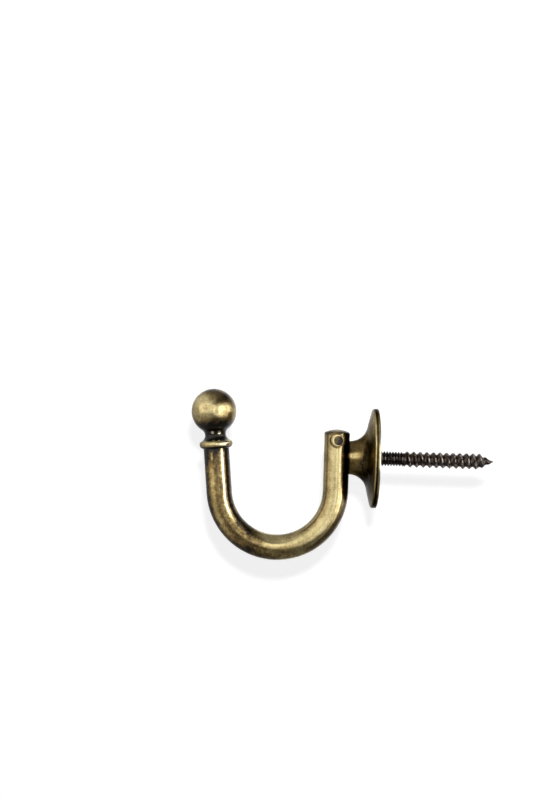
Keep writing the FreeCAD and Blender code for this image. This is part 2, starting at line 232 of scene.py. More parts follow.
class Section:
    """Half a section, drawn as one chain of edges beside an axis and then turned about it.

    Its points are told by u, along the axis, and r, out from it.
    """

    def __init__(self, name, origin, along, out, u, r):
        self.origin = Vector(origin)
        self.along = Vector(along)
        self.out = Vector(out)
        self.normal = self.along.cross(self.out)
        bpy.ops.object.select_all(action="DESELECT")
        bpy.ops.mesh.primitive_plane_add(size=MM, location=self.origin)
        self.piece = bpy.context.object
        self.piece.name = self.piece.data.name = name
        bpy.ops.object.mode_set(mode="EDIT")
        bpy.ops.mesh.select_mode(type="VERT")
        bpy.ops.mesh.merge(type="CENTER")
        self.pen = self.place(u, r)
        bpy.ops.transform.translate(value=self.pen - self.origin)

    def place(self, u, r):
        return self.origin + self.along * u + self.out * r

    def line(self, u, r):
        goal = self.place(u, r)
        bpy.ops.mesh.extrude_region_move(TRANSFORM_OT_translate={"value": goal - self.pen})
        self.pen = goal

    def arc(self, u, r, turn, steps):
        """An arc about the centre u, r, from the axis towards the outside where turn is positive."""
        centre = self.place(u, r)
        bpy.ops.mesh.spin(steps=steps, angle=-turn, center=centre, axis=self.normal)
        self.pen = centre + Quaternion(self.normal, turn) @ (self.pen - centre)

    def check(self):
        """Stops the script if the chain's end is not where the pen is."""
        self.piece.update_from_editmode()
        ends = [self.piece.matrix_world @ v.co for v in self.piece.data.vertices if v.select]
        if not ends or (ends[0] - self.pen).length > WELD:
            raise RuntimeError(f"{self.piece.name}: the section's end is off its place")

    def turn(self):
        self.check()
        bpy.ops.mesh.select_all(action="SELECT")
        bpy.ops.mesh.spin(
            steps=SIDES,
            angle=FULL_TURN,
            center=self.origin,
            axis=self.along,
            use_auto_merge=True,
        )
        bpy.ops.object.mode_set(mode="OBJECT")
        return self.piece


def direction(u, r):
    """Angle of a direction in a section, from its axis towards the outside."""
    return math.atan2(r, u)


def select_only(*pieces):
    bpy.ops.object.select_all(action="DESELECT")
    for piece in pieces:
        piece.select_set(True)
    bpy.context.view_layer.objects.active = pieces[0]


def join(*pieces):
    select_only(*pieces)
    bpy.ops.object.join()
    return pieces[0]


def weld(piece, reach=WELD):
    """Merges doubles, then turns every face outwards."""
    select_only(piece)
    bpy.ops.object.mode_set(mode="EDIT")
    bpy.ops.mesh.select_all(action="SELECT")
    bpy.ops.mesh.remove_doubles(threshold=reach)
    bpy.ops.mesh.normals_make_consistent(inside=False)
    bpy.ops.object.mode_set(mode="OBJECT")


def combine(piece, tool, operation):
    """Adds a tool's solid to a piece or cuts it out, and removes the tool."""
    modifier = piece.modifiers.new(operation, "BOOLEAN")
    modifier.operation = operation
    modifier.solver = "EXACT"
    modifier.object = tool
    select_only(piece)
    bpy.ops.object.modifier_apply(modifier=modifier.name)
    bpy.data.objects.remove(tool)


def select_faces(piece, test):
    """In edit mode, selects only the faces whose middle and normal pass a test."""
    bpy.ops.mesh.select_mode(type="FACE")
    bpy.ops.mesh.select_all(action="DESELECT")
    bpy.ops.object.mode_set(mode="OBJECT")
    turn = piece.matrix_world.to_3x3()
    for face in piece.data.polygons:
        face.select = test(piece.matrix_world @ face.center, turn @ face.normal)
    bpy.ops.object.mode_set(mode="EDIT")


def select_edges(piece, test):
    """In edit mode, selects only the edges whose two ends both pass a test."""
    bpy.ops.mesh.select_mode(type="EDGE")
    bpy.ops.mesh.select_all(action="DESELECT")
    bpy.ops.object.mode_set(mode="OBJECT")
    ends = [piece.matrix_world @ vertex.co for vertex in piece.data.vertices]
    for edge in piece.data.edges:
        edge.select = all(test(ends[index]) for index in edge.vertices)
    bpy.ops.object.mode_set(mode="EDIT")


def cutter(radius, depth, middle, along):
    """A plain round tool for a cut."""
    bpy.ops.object.select_all(action="DESELECT")
    bpy.ops.mesh.primitive_cylinder_add(
        vertices=SIDES,
        radius=radius,
        depth=depth,
        location=middle,
        rotation=Z_AXIS.rotation_difference(along).to_euler(),
    )
    return bpy.context.object


def finish_piece(piece, node, material):
    """Sets a piece at the origin with its material, and lets it stand for its solid."""
    select_only(piece)
    bpy.ops.object.transform_apply(location=True, rotation=True, scale=True)
    bpy.ops.object.shade_smooth_by_angle(angle=SMOOTH_ANGLE)
    piece.data.materials.clear()
    piece.data.materials.append(material)
    low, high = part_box(node)
    corners = [Vector(corner) for corner in piece.bound_box]
    for axis in range(3):
        spread = [corner[axis] for corner in corners]
        if abs(min(spread) - low[axis]) > BOX_SLACK or abs(max(spread) - high[axis]) > BOX_SLACK:
            raise RuntimeError(f"{piece.name} does not fill the box of its solid")
    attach(piece, "root")
    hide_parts(node)


class Signal:
    """A socket of a node tree. Sums and products of signals and numbers add Math nodes."""

    def __init__(self, tree, socket=None):
        self.tree = tree
        self.socket = socket

    def node(self, kind, settings=None, inputs=None, output=0):
        """Adds a node: its settings first, then its sockets' values or links, by name or identifier."""
        made = self.tree.nodes.new(kind)
        for name, value in (settings or {}).items():
            if name == "stops":
                set_stops(made.color_ramp, value)
            else:
                setattr(made, name, value)
        for name, value in (inputs or {}).items():
            socket = pick(made.inputs, name)
            if isinstance(value, Signal):
                self.tree.links.new(value.socket, socket)
            else:
                socket.default_value = value
        return Signal(self.tree, pick(made.outputs, output)) if made.outputs else None

    def maths(self, operation, *values, clamp=False):
        names = ("Value", "Value_001")
        settings = {"operation": operation, "use_clamp": clamp}
        return self.node("ShaderNodeMath", settings, dict(zip(names, values)))

    def __add__(self, other):
        return self.maths("ADD", self, other)

    def __radd__(self, other):
        return self.maths("ADD", other, self)

    def __sub__(self, other):
        return self.maths("SUBTRACT", self, other)

    def __rsub__(self, other):
        return self.maths("SUBTRACT", other, self)

    def __mul__(self, other):
        return self.maths("MULTIPLY", self, other)

    def __rmul__(self, other):
        return self.maths("MULTIPLY", other, self)

    def __truediv__(self, other):
        return self.maths("DIVIDE", self, other)

    def __rtruediv__(self, other):
        return self.maths("DIVIDE", other, self)

    def __abs__(self):
        return self.maths("ABSOLUTE", self)

    def at_most(self, other):
        return self.maths("MINIMUM", self, other)

    def at_least(self, other):
        return self.maths("MAXIMUM", self, other)

    def clamped(self):
        return self.maths("ADD", self, 0.0, clamp=True)

    def step(self, low, high):
        """Rises smoothly from 0 at low to 1 at high, or falls where high is the lower."""
        rising = high > low
        ends = (0.0, 1.0) if rising else (1.0, 0.0)
        return self.node(
            "ShaderNodeMapRange",
            {"interpolation_type": "SMOOTHSTEP"},
            {
                "Value": self,
                "From Min": min(low, high),
                "From Max": max(low, high),
                "To Min": ends[0],
                "To Max": ends[1],
            },
        )

    def noise(self, size, detail, roughness):
        """Even noise over a position, whose grains are about that size in metres."""
        return self.node(
            "ShaderNodeTexNoise",
            {"noise_dimensions": "3D"},
            {"Vector": self, "Scale": 1.0 / size, "Detail": detail, "Roughness": roughness},
            "Fac",
        )

    def blend(self, first, second, way="MIX"):
        """A colour between two, by this factor."""
        return self.node(
            "ShaderNodeMix",
            {"data_type": "RGBA", "clamp_factor": True, "blend_type": way},
            {"Factor_Float": self, "A_Color": first, "B_Color": second},
            "Result_Color",
        )

    def between(self, low, high, soft):
        """1 between two values, fading out over a soft border at each."""
        half = soft / 2
        return self.step(low - half, low + half) * self.step(high + half, high - half)

    def along(self, way, origin):
        """How far a position lies from an origin in a direction."""
        return self.dot(way) - Vector(origin).dot(way)

    def off_axis(self, origin, axis):
        """How far a position lies from an axis."""
        arm = self.vector("SUBTRACT", self, origin)
        return self.vector("LENGTH", self.vector("CROSS_PRODUCT", arm, axis), output="Value")

    def vector(self, operation, *values, output="Vector"):
        names = ("Vector", "Vector_001")
        return self.node("ShaderNodeVectorMath", {"operation": operation}, dict(zip(names, values)), output)

    def dot(self, vector):
        return self.vector("DOT_PRODUCT", self, vector, output="Value")


def pick(sockets, key):
    if isinstance(key, int):
        return sockets[key]
    for socket in sockets:
        if key in (socket.identifier, socket.name):
            return socket
    raise RuntimeError(f"there is no socket named {key}")


def set_stops(ramp, stops):
    while len(ramp.elements) < len(stops):
        ramp.elements.new(1.0)
    for element, (position, value) in zip(ramp.elements, stops):
        element.position = position
        element.color = value


def solid(value):
    return (*value, 1.0)


def new_material(name):
    material = bpy.data.materials.new(name)
    material.use_nodes = True
    material.node_tree.nodes.clear()
    return material, Signal(material.node_tree)


def close_material(start, surface):
    start.node("ShaderNodeOutputMaterial", None, {"Surface": surface})


class Zone(NamedTuple):
    """A zone along some measure: nothing where it starts, whole where it is full, and what it then adds."""

    start: float
    full: float
    amount: float = 1.0

    def mask(self, measure):
        return measure.step(self.start, self.full)

    def on(self, measure):
        return self.mask(measure) * self.amount


class Band(NamedTuple):
    """A band between two values of some measure, with soft borders, and what it adds."""

    low: float
    high: float
    soft: float
    amount: float = 1.0

    def mask(self, measure):
        return measure.between(self.low, self.high, self.soft)

    def on(self, measure):
        return self.mask(measure) * self.amount


# Noises lie about this value.
NOISE_MIDDLE = 0.5
# Noises of the brass, and what they change in its wear.
BRASS_CLOUD = {"size": 2.6 * MM, "detail": 3.0, "roughness": 0.55}
BRASS_GRAIN = {"size": 0.42 * MM, "detail": 4.0, "roughness": 0.62}
BRASS_SPECK = {"size": 0.16 * MM, "detail": 2.0, "roughness": 0.5}
CLOUD_WEAR = 0.8
GRAIN_WEAR = 0.6
# Pits are left where a speck stands out on a worn cloud.
PIT_SPECK = Zone(0.665, 0.73)
PIT_CLOUD = Zone(0.42, 0.6)
PIT_WEAR = 0.45
# Wear at which the patina is thin, the brass is bright and the brass is almost white; the almost white is
# mostly reached where highlights are painted.
OLIVE_LEVEL = 0.42
BRASS_LEVEL = 0.95
PALE_LEVEL = 1.35
# Roughness of bright brass, and what the grain and the patina change in it.
BRASS_ROUGHNESS = 0.16
GRAIN_ROUGHNESS = 0.16
PATINA_ROUGHNESS = 0.18
BRASS_LACQUER_ROUGHNESS = 0.12
# Heights in the brass's relief, and the relief itself.
CLOUD_HEIGHT = 0.55
GRAIN_HEIGHT = 0.16
SPECK_HEIGHT = 0.04
PIT_HEIGHT = -0.10
BRASS_RELIEF = {"Strength": 0.28, "Distance": 0.09 * MM}

# Noises of the screw's plating; its crests are worn near their tops, where a cloud lies on them.
STEEL_GRAIN = {"size": 0.35 * MM, "detail": 3.0, "roughness": 0.6}
STEEL_CLOUD = {"size": 0.9 * MM, "detail": 2.0, "roughness": 0.5}
STEEL_CREST = Zone(-0.30 * MM, -0.05 * MM)
STEEL_WORN_CLOUD = Zone(0.38, 0.62)
STEEL_GRAIN_LEVEL = 0.56
STEEL_GRAIN_WEAR = 1.5
STEEL_ROUGHNESS = 0.22
STEEL_GRAIN_ROUGHNESS = 0.2
STEEL_LACQUER_ROUGHNESS = 0.2
STEEL_RELIEF = {"Strength": 0.5, "Distance": 0.06 * MM}


def antique_brass(name, finishes, wear_and_light, lacquer, edge, warmth=None):
    """Brass under a dark patina that is rubbed back where wear_and_light is high; that level also holds
    painted highlights and painted shade.

    wear_and_light takes the position and gives how far each place is rubbed, with painted highlights and
    painted
    shade added: 1 is bright brass, and more is paler.
    warmth takes the position too, and gives how amber the lacquer is there.
    """
    material, start = new_material(name)
    place = start.node("ShaderNodeTexCoord", None, None, "Object")
    cloud = place.noise(**BRASS_CLOUD)
    grain = place.noise(**BRASS_GRAIN)
    speck = place.noise(**BRASS_SPECK)
    # worn holds the wear with its painted highlights and painted shade, and the noises.
    worn = wear_and_light(place) + (cloud - NOISE_MIDDLE) * CLOUD_WEAR + (grain - NOISE_MIDDLE) * GRAIN_WEAR
    pits = PIT_SPECK.mask(speck) * PIT_CLOUD.mask(cloud)
    depth = ((worn - pits * PIT_WEAR) / PALE_LEVEL).clamped()
    worn = (depth * PALE_LEVEL).at_most(1.0)
    stops = (
        (0.0, solid(finishes.patina)),
        (OLIVE_LEVEL / PALE_LEVEL, solid(finishes.olive)),
        (BRASS_LEVEL / PALE_LEVEL, solid(finishes.brass)),
        (1.0, solid(finishes.pale)),
    )
    tone = depth.node("ShaderNodeValToRGB", {"stops": stops}, {"Fac": depth}, "Color")
    if warmth:
        tone = warmth(place).blend(tone, solid(finishes.amber), "MULTIPLY")
    roughness = BRASS_ROUGHNESS + (grain - NOISE_MIDDLE) * GRAIN_ROUGHNESS + (1.0 - worn) * PATINA_ROUGHNESS
    height = cloud * CLOUD_HEIGHT + grain * GRAIN_HEIGHT + speck * SPECK_HEIGHT + pits * PIT_HEIGHT
    surface = start.node(
        "ShaderNodeBsdfPrincipled",
        None,
        {
            "Base Color": tone,
            "Metallic": 1.0,
            "Roughness": roughness,
            "Normal": height.node("ShaderNodeBump", None, {**BRASS_RELIEF, "Height": height}),
            "Specular Tint": solid((edge, edge, edge)),
            "Coat Weight": lacquer,
            "Coat Roughness": BRASS_LACQUER_ROUGHNESS,
        },
    )
    close_material(start, surface)
    return material


def bronzed_steel(name, finishes, sizes):
    """Dark plating, rubbed to light metal along the crests and dull in the roots."""
    material, start = new_material(name)
    place = start.node("ShaderNodeTexCoord", None, None, "Object")
    above_crest = place.off_axis(ORIGIN, X_AXIS) - sizes.coarse / 2
    grain = place.noise(**STEEL_GRAIN)
    cloud = place.noise(**STEEL_CLOUD)
    crest = STEEL_CREST.mask(above_crest) * STEEL_WORN_CLOUD.mask(cloud)
    worn = (crest + (grain - STEEL_GRAIN_LEVEL) * STEEL_GRAIN_WEAR).clamped()
    surface = start.node(
        "ShaderNodeBsdfPrincipled",
        None,
        {
            "Base Color": worn.blend(solid(finishes.bronze), solid(finishes.steel)),
            "Metallic": 1.0,
            "Roughness": STEEL_ROUGHNESS + (grain - NOISE_MIDDLE) * STEEL_GRAIN_ROUGHNESS,
            "Normal": grain.node("ShaderNodeBump", None, {**STEEL_RELIEF, "Height": grain}),
            "Coat Weight": finishes.screw_lacquer,
            "Coat Roughness": STEEL_LACQUER_ROUGHNESS,
        },
    )
    close_material(start, surface)
    return material


class HookLayout:
    """Places that follow from the hook's sizes."""

    def __init__(self, hook, rose):
        self.bar = hook.bar / 2
        self.bend = hook.gap / 2 + self.bar
        self.seat = -rose.depth
        self.arm_x = self.seat - self.bar + hook.seat_depth
        self.bend_middle = Vector((self.arm_x - self.bend, 0, -hook.drop))
        self.upward = Vector((-math.sin(hook.lean), 0, math.cos(hook.lean)))
        self.outward = Vector((-math.cos(hook.lean), 0, -math.sin(hook.lean)))
        self.bend_end = self.bend_middle + self.outward * self.bend
        bead_z = hook.front_rise - hook.drop
        run = (bead_z - self.bend_end.z) / self.upward.z
        self.bead = self.bend_end + self.upward * run
        self.ball = self.bead + self.upward * hook.ball_height
        self.boss = Vector((self.arm_x, -self.bar - hook.boss_proud, hook.boss_height))
        self.bead_round = hook.bead_thickness / 2
        self.bead_ring = hook.bead / 2 - self.bead_round
        self.under_bead = math.sqrt(self.bead_round**2 - (self.bar - self.bead_ring) ** 2)
        self.neck_u, self.neck_r = self.neck_circle(hook)

    def neck_circle(self, hook):
        """Middle of the hollow that touches bead and ball, found by halving the range of its radius."""
        low, high = 0.0, hook.ball
        for _ in range(HALVINGS):
            trial = (low + high) / 2
            ring = hook.neck / 2 + trial
            from_bead = math.sqrt((trial + self.bead_round) ** 2 - (ring - self.bead_ring) ** 2)
            from_ball = math.sqrt((trial + hook.ball / 2) ** 2 - ring**2)
            if from_bead + from_ball < hook.ball_height:
                low = trial
            else:
                high = trial
        return from_bead, ring


class HOLDBACK_OT_hook(bpy.types.Operator):
    """Model the cast hook: bent bar, ball end, domed rear end, boss and seat for the rose"""

    bl_idname = "holdback.make_hook"
    bl_label = "Hook"

    def execute(self, context):
        hook = context.scene.holdback_hook
        rose = context.scene.holdback_rose
        layout = HookLayout(hook, rose)
        bar = self.bend_bar(hook, layout)
        finial = self.turn_finial(hook, layout)
        arm_end = self.turn_arm_end(hook, layout)
        piece = join(bar, finial, arm_end)
        weld(piece)
        combine(piece, self.make_boss(hook, layout), "UNION")
        seat_room = rose.neck / 2 + hook.seat_room
        seat_middle = Vector((layout.seat + hook.bar / 2, 0, 0))
        combine(piece, cutter(seat_room, hook.bar, seat_middle, X_AXIS), "DIFFERENCE")
        hole_middle = Vector((layout.seat, 0, 0))
        combine(piece, cutter(hook.hole / 2, 2 * hook.hole_depth, hole_middle, X_AXIS), "DIFFERENCE")
        weld(piece, CUT_WELD)
        finishes = context.scene.holdback_finishes
        # The hook's level holds its wear and its painted highlights and painted shade.
        patina = HookWearAndPaintedLight(hook, layout)
        material = antique_brass(
            "hook antique brass",
            finishes,
            patina.level,
            finishes.hook_lacquer,
            finishes.hook_edge,
            patina.warmth,
        )
        finish_piece(piece, "hook", material)
        return {"FINISHED"}

    def bend_bar(self, hook, layout):
        """A ring at the rear arm's top, drawn down, round the bend and up to the bead."""
        bpy.ops.object.select_all(action="DESELECT")
        top = Vector((layout.arm_x, 0, hook.arm_rise))
        bpy.ops.mesh.primitive_circle_add(
            vertices=SIDES, radius=layout.bar, fill_type="NOTHING", location=top
        )
        piece = bpy.context.object
        piece.name = piece.data.name = "cast_hook"
        bpy.ops.object.mode_set(mode="EDIT")
        down = (0, 0, -hook.drop - hook.arm_rise)
        bpy.ops.mesh.extrude_region_move(TRANSFORM_OT_translate={"value": down})
        bpy.ops.mesh.spin(
            steps=BEND_STEPS,
            angle=-(math.pi - hook.lean),
            center=layout.bend_middle,
            axis=Y_AXIS,
        )
        bead_foot = layout.bead - layout.upward * layout.under_bead
        bpy.ops.mesh.extrude_region_move(
            TRANSFORM_OT_translate={"value": bead_foot - layout.bend_end}
        )
        bpy.ops.object.mode_set(mode="OBJECT")
        return piece

    def turn_finial(self, hook, layout):
        """Bead, hollow neck and ball as three arcs that run into each other."""
        ball = hook.ball / 2
        section = Section("finial", layout.bead, layout.upward, Y_AXIS, -layout.under_bead, layout.bar)
        foot = direction(-layout.under_bead, layout.bar - layout.bead_ring)
        to_neck = direction(layout.neck_u, layout.neck_r - layout.bead_ring)
        section.arc(0, layout.bead_ring, to_neck - foot, NECK_STEPS)
        from_bead = direction(-layout.neck_u, layout.bead_ring - layout.neck_r)
        to_ball = direction(hook.ball_height - layout.neck_u, -layout.neck_r)
        section.arc(layout.neck_u, layout.neck_r, to_ball - from_bead, NECK_STEPS)
        on_ball = direction(layout.neck_u - hook.ball_height, layout.neck_r)
        section.arc(hook.ball_height, 0, -on_ball, BALL_STEPS)
        return section.turn()

    def turn_arm_end(self, hook, layout):
        """Rounded edge and shallow dome of the rear arm's end."""
        origin = Vector((layout.arm_x, 0, hook.arm_rise))
        rise = hook.arm_top - hook.arm_rise
        ring = layout.bar - hook.arm_edge
        spare = rise - hook.arm_edge
        below = (ring**2 - spare**2) / (2 * spare)
        section = Section("arm_end", origin, Z_AXIS, Y_AXIS, 0, layout.bar)
        lean = direction(below, ring)
        section.arc(0, ring, lean - RIGHT_ANGLE, EDGE_STEPS)
        section.arc(-below, 0, -lean, EDGE_STEPS)
        return section.turn()

    def make_boss(self, hook, layout):
        """Round pad on the rear arm's near side, with a rounded rim and a sunken disc."""
        bpy.ops.object.select_all(action="DESELECT")
        depth = layout.bar
        middle = layout.boss + Y_AXIS * depth / 2
        bpy.ops.mesh.primitive_cylinder_add(
            vertices=SIDES,
            radius=hook.boss / 2,
            depth=depth,
            location=middle,
            rotation=(RIGHT_ANGLE, 0, 0),
        )
        boss = bpy.context.object
        bpy.ops.object.mode_set(mode="EDIT")
        front = layout.boss.y + WELD
        select_edges(boss, lambda point: point.y < front)
        bpy.ops.mesh.bevel(
            offset=hook.boss_edge, offset_type="OFFSET", segments=BOSS_EDGE_STEPS, affect="EDGES"
        )
        select_faces(boss, lambda point, normal: normal.y < -FACING)
        bpy.ops.mesh.inset(thickness=(hook.boss - hook.dimple) / 2 - hook.boss_edge)
        bpy.ops.mesh.extrude_region_move(
            TRANSFORM_OT_translate={"value": (0, hook.dimple_depth, 0)}
        )
        bpy.ops.transform.resize(value=(DIMPLE_DRAFT, 1, DIMPLE_DRAFT), center_override=layout.boss)
        bpy.ops.object.mode_set(mode="OBJECT")
        return boss


# Wear and painted light of the bar. Zones across it go from -1 on the inside of the U to 1 on its outside,
# and zones along its run from -1 on the front arm to 1 on the rear arm. Heights are in the bead's roundings
# from its middle.
FRONT_RUN = Zone(-0.45, -0.85)
REAR_RUN = Zone(0.35, 0.80)
FINIAL_FOOT = Zone(-1.1, -0.7)
FINIAL_RUN = Zone(0.0, -1.0)

# Amber lacquer lies on the outside, from the middle of the bend up to the bead.
AMBER_ACROSS = Zone(-0.05, 0.35)
AMBER_RUN = Zone(0.2, -0.5)
AMBER_HEIGHT = Zone(-1.0, -2.0)

# Front arm: darker towards its inside, with patina and painted shade, and towards its outside, with painted
# shade;
# a painted reflection makes it a little less dark at the rim of the inside.
FRONT_LEVEL = 0.41
FRONT_PATINA_AND_PAINTED_LIGHT_ZONES = (Zone(-0.60, -0.68, -0.42), Zone(-0.78, -0.92, 0.25), Zone(0.60, 0.84, -0.34))
# A painted highlight: a pale streak beside the dark inside.
PAINTED_STREAK_SIDES = (Zone(-0.31, -0.45), Zone(-0.55, -0.46))
PAINTED_STREAK_RUN = Zone(-0.68, -0.84, 1.15)
# A band on the outside, rubbed and with a painted highlight, most of which is lost below the bead, where
# painted shade darkens the arm.
RUBBED_AND_LIT_BAND = Band(0.28, 0.60, 0.28)
RUBBED_AND_LIT_LEVEL = 0.34
SHADE_BELOW_BEAD_LOSS = -0.30
SHADE_BELOW_BEAD = Zone(-6.5, -2.5)
SHADE_BELOW_BEAD_ACROSS = Zone(-0.35, 0.0, -0.34)
# Patina in the crease and painted shade just below the bead.
BEAD_FOOT_PATINA_AND_SHADE = Zone(-1.8, -0.9, -0.3)
# A painted glint: a small bright spot below the bead.
GLINT_SPOT_ACROSS = Band(0.29, 0.43, 0.10)
GLINT_SPOT_HEIGHT = Band(-3.6, -1.9, 0.25, 0.42)

# Bend: duller towards the front arm. Each patch has its place across the bar and its place along the run;
# some are painted highlight and painted shade.
BEND_LEVEL = 0.58
BEND_FRONT = Band(-0.95, -0.34, 0.3, -0.28)
BEND_WEAR_AND_LIGHT_PATCHES = (
    # Painted highlight: a bright strip near the inside, towards the rear arm.
    (Band(-0.60, -0.16, 0.20), Zone(-0.46, 0.15, 0.30)),
    # Inner edge of the front half.
    (Zone(-0.50, -0.70), Zone(0.25, -0.05, 0.16)),
    # Outside of the front half and of the rear half.
    (Zone(0.20, 0.55), Zone(0.15, -0.20, -0.20)),
    (Zone(0.25, 0.50), Zone(0.0, 0.3, 0.10)),
    # Painted shade: a dull line beside the strip.
    (Band(0.0, 0.20, 0.12), Band(-0.40, 0.15, 0.2, -0.14)),
    # Patina and painted shade: the dark inside that comes down from the front arm.
    (Zone(-0.36, -0.60), Zone(-0.20, -0.50, -0.32)),
)

# Rear arm: a broad face rubbed bright and with a painted highlight, a painted highlight in its middle, and a
# painted highlight line before the side by the rose, which patina and painted shade darken.
REAR_LEVEL = 0.53
REAR_WEAR_AND_HIGHLIGHT_BANDS = (Band(-0.44, 0.28, 0.30, 0.26), Band(-0.12, 0.14, 0.14, 0.10), Band(0.36, 0.46, 0.06, 0.36))
REAR_PATINA_AND_SHADE_SIDE = Zone(0.46, 0.54)
REAR_PATINA_AND_SHADE_LEVEL = -0.30
# Painted shade beside the rose and on the arm's domed end, by radii of the bar above the bend's middle and
# the arm's top.
SHADE_BESIDE_ROSE = Zone(-0.5, 0.2, -0.24)
ARM_END_SHADE = Zone(-0.15, 0.05, -0.42)

# Mottle of the front half and of the bend's outside.
MOTTLE = {"size": 0.9 * MM, "detail": 4.0, "roughness": 0.65}
MOTTLE_MIDDLE = 0.53
MOTTLE_WEAR = 1.1
MOTTLE_FRONT = Zone(0.3, -0.5)
MOTTLE_OUTSIDE = Zone(0.05, 0.30, 0.8)
MOTTLE_BEND = (Zone(-0.5, 0.0), Zone(0.9, 0.6))

# Ball, in its radii from its middle: patina and painted shade below, along a line that wavers, and painted
# shade towards the top.
NECK_LEVEL = -0.10
BALL_LEVEL = 0.87
BALL_FOOT = Zone(-0.90, -0.70)
BALL_UNDERSIDE_PATINA_AND_SHADE = Zone(-0.04, -0.76, -0.94)
BALL_SLANT = 0.06
BALL_WAVER = 0.7
BALL_CLOUD = {"size": 4.0 * MM, "detail": 2.0, "roughness": 0.5}
BALL_SHADE = Zone(0.32, 0.85, -0.55)
BALL_SHADE_WAY = Vector((0.35, 0, 0.94))
BALL_MOTTLE = {"size": 1.6 * MM, "detail": 3.0, "roughness": 0.6}
BALL_MOTTLE_WEAR = 0.9
# Two painted glints on the neck, this far round from the near side, above its narrowest place.
GLINT_TURNS = (math.radians(-12), math.radians(24))
GLINT_RISE = 0.7 * MM
GLINT = Zone(0.10, 0.05, 1.4)
# Bead: its crown, by roundings off its ring, is rubbed bright and carries a painted highlight on its upper
# part;
# by its diameters, painted shade makes it less bright at its two sides and towards the room.
BEAD_LEVEL = 1.15
BEAD_HIGHLIGHT_HEIGHT = Band(-0.5, 1.0, 0.5)
BEAD_CROWN = Zone(0.2, 0.6)
BEAD_SHADED_SIDES = Zone(0.40, 0.49, -0.65)
BEAD_SHADED_ROOM_SIDE = Zone(-0.1, 0.4, -0.45)

# Boss, in its diameters: a painted highlight crescent towards the room, with a dark disc, and a groove dark
# with patina and painted shade, with a painted shadow below and a painted highlight by the rose.
BOSS_FACE = Zone(0.50, 0.47)
BOSS_FACE_LEVEL = -0.16
BOSS_PAINTED_CRESCENT = Zone(0.30, -0.25, 0.20)
BOSS_DISC = Zone(0.38, 0.31, -0.74)
# The disc is shifted towards the rose, so that the painted crescent shows on the room's side.
BOSS_DISC_SHIFT = 0.07
BOSS_GROOVE = Band(0.50, 0.60, 0.06)
BOSS_GROOVE_LEVEL = -0.30
BOSS_GROOVE_SHADOW = Zone(0.0, 0.6, -0.25)
BOSS_GROOVE_LIT = Zone(0.15, 0.40, 0.9)
# All of this lies on the bar's near side, by radii of the bar.
BOSS_NEAR_SIDE = Zone(0.3, 0.6)


